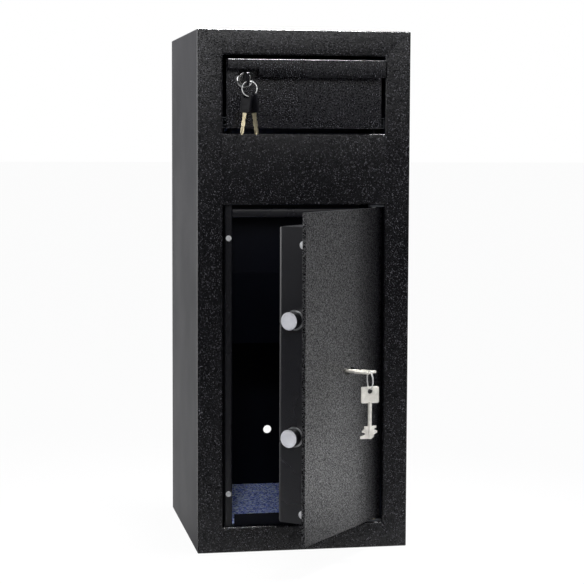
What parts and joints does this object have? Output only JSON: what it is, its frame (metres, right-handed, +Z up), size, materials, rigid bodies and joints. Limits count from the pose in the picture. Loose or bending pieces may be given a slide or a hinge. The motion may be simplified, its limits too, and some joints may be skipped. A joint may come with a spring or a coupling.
{
  "type": "drop safe with deposit drawer",
  "caption": "Tall steel drop safe with a tipping deposit drawer on ball runners above a key-locked door with sliding bolts.",
  "frame": {"origin": "centre of the base, on the ground", "axes": "+Z up, +Y towards the back wall, the door and drawer face -Y"},
  "size_m": [0.35, 0.5467, 0.85],
  "materials": {
    "coated_steel": "near-black hammered powder coat on the front and door, smooth grey coat on the cabinet",
    "felt": "blue-grey needle felt",
    "plated_steel": "zinc-plated or nickel-plated steel",
    "chrome_plate": "bright chrome plate",
    "brass": "plain brass",
    "plastic": "satin black plastic"
  },
  "bodies": {
    "cabinet": {"body_shell": "coated_steel", "back_panel": "coated_steel", "front_plate": "coated_steel", "floor_pan": "coated_steel", "floor_mat": "felt", "strike_post": "coated_steel", "hinge_post": "coated_steel", "head_stop": "coated_steel", "threshold_bar": "coated_steel", "stop_screws": "plated_steel", "hinge_brackets": "plated_steel", "hinge_washer": "brass", "bay_sides": "coated_steel", "chute_plate": "coated_steel", "fixed_runners": "plated_steel", "cam_ramps": "plated_steel"},
    "door": {"door_plate": "coated_steel", "bolt_cover": "coated_steel", "cover_brackets": "plated_steel", "cover_screws": "plated_steel", "hinge_lugs": "coated_steel", "hinge_pins": "plated_steel", "lock_case": "plated_steel", "lock_case_screws": "plated_steel", "bolt_guides": "plated_steel"},
    "bolts": {"locking_bolts": "chrome_plate", "bolt_bar": "plated_steel", "bolt_nuts": "plated_steel"},
    "door_key": {"door_key": "plated_steel", "lock_drum": "brass"},
    "door_ring": {"door_key_ring": "plated_steel"},
    "spare_door_key": {"spare_door_key": "plated_steel"},
    "drawer": {"drawer_front": "coated_steel", "drawer_pull": "coated_steel", "drawer_body": "coated_steel", "drawer_ledge": "coated_steel", "moving_runners": "plated_steel", "runner_rivets": "plated_steel", "floor_pivot_pins": "plated_steel", "drawer_lock_barrel": "chrome_plate", "drawer_lock_nut": "plated_steel"},
    "runner_cages": {"runner_ball_cages": "plated_steel"},
    "drawer_floor": {"tipping_floor": "plated_steel", "floor_followers": "plastic"},
    "drawer_lock": {"drawer_lock_plug": "chrome_plate", "drawer_lock_cam": "plated_steel", "cam_screw": "plated_steel", "drawer_key_blade": "plated_steel", "drawer_key_head": "plastic"},
    "drawer_ring": {"drawer_key_ring": "plated_steel"},
    "hanging_key_a": {"hanging_blade_a": "brass", "hanging_head_a": "plastic"},
    "hanging_key_b": {"hanging_blade_b": "brass", "hanging_head_b": "plastic"}
  },
  "joints": [
    {"name": "door_swing", "type": "hinge", "parent": "cabinet", "child": "door", "pos_m": [0.1178, -0.168, 0.306], "axis": [0, 0, 1], "range_deg": [-50.5, 54.5]},
    {"name": "bolts_slide", "type": "slide", "parent": "door", "child": "bolts", "axis": [0.6361, 0.7716, 0], "range_m": [0, 0.02]},
    {"name": "door_key_turn", "type": "hinge", "parent": "door", "child": "door_key", "pos_m": [0.06019, -0.25361, 0.30615], "axis": [0.7716, -0.6361, 0], "range_deg": [-360, 0]},
    {"name": "door_ring_swing", "type": "hinge", "parent": "door_key", "child": "door_ring", "pos_m": [0.0865, -0.2753, 0.30615], "axis": [-0.1219, 0.9925, 0], "range_deg": [-6, 6]},
    {"name": "spare_door_key_swing", "type": "hinge", "parent": "door_ring", "child": "spare_door_key", "pos_m": [0.0874, -0.28255, 0.277], "axis": [-0.1219, 0.9925, 0], "range_deg": [-20, 20]},
    {"name": "drawer_slide", "type": "slide", "parent": "cabinet", "child": "drawer", "axis": [0, -1, 0], "range_m": [0, 0.16]},
    {"name": "cages_slide", "type": "slide", "parent": "cabinet", "child": "runner_cages", "axis": [0, -1, 0], "range_m": [0, 0.08]},
    {"name": "drawer_floor_tip", "type": "hinge", "parent": "drawer", "child": "drawer_floor", "pos_m": [0, -0.068, 0.716], "axis": [1, 0, 0], "range_deg": [0, 38]},
    {"name": "drawer_lock_turn", "type": "hinge", "parent": "drawer", "child": "drawer_lock", "pos_m": [-0.0985, -0.176, 0.77], "axis": [0, 1, 0], "range_deg": [0, 90]},
    {"name": "drawer_ring_swing", "type": "hinge", "parent": "drawer_lock", "child": "drawer_ring", "pos_m": [-0.0985, -0.211, 0.7652], "axis": [1, 0, 0], "range_deg": [-6, 6]},
    {"name": "hanging_key_a_swing", "type": "hinge", "parent": "drawer_ring", "child": "hanging_key_a", "pos_m": [-0.09915, -0.211, 0.74208], "axis": [1, 0, 0], "range_deg": [-8, 8]},
    {"name": "hanging_key_b_swing", "type": "hinge", "parent": "drawer_ring", "child": "hanging_key_b", "pos_m": [-0.09185, -0.211, 0.74208], "axis": [1, 0, 0], "range_deg": [-8, 8]}
  ],
  "couplings": [
    {"joint": "door_key_turn", "follows": "bolts_slide", "rad_per_m": -314.16},
    {"joint": "cages_slide", "follows": "drawer_slide", "ratio": 0.5},
    {"joint": "drawer_floor_tip", "follows": "drawer_slide", "rad_per_m": 4.1452}
  ]
}
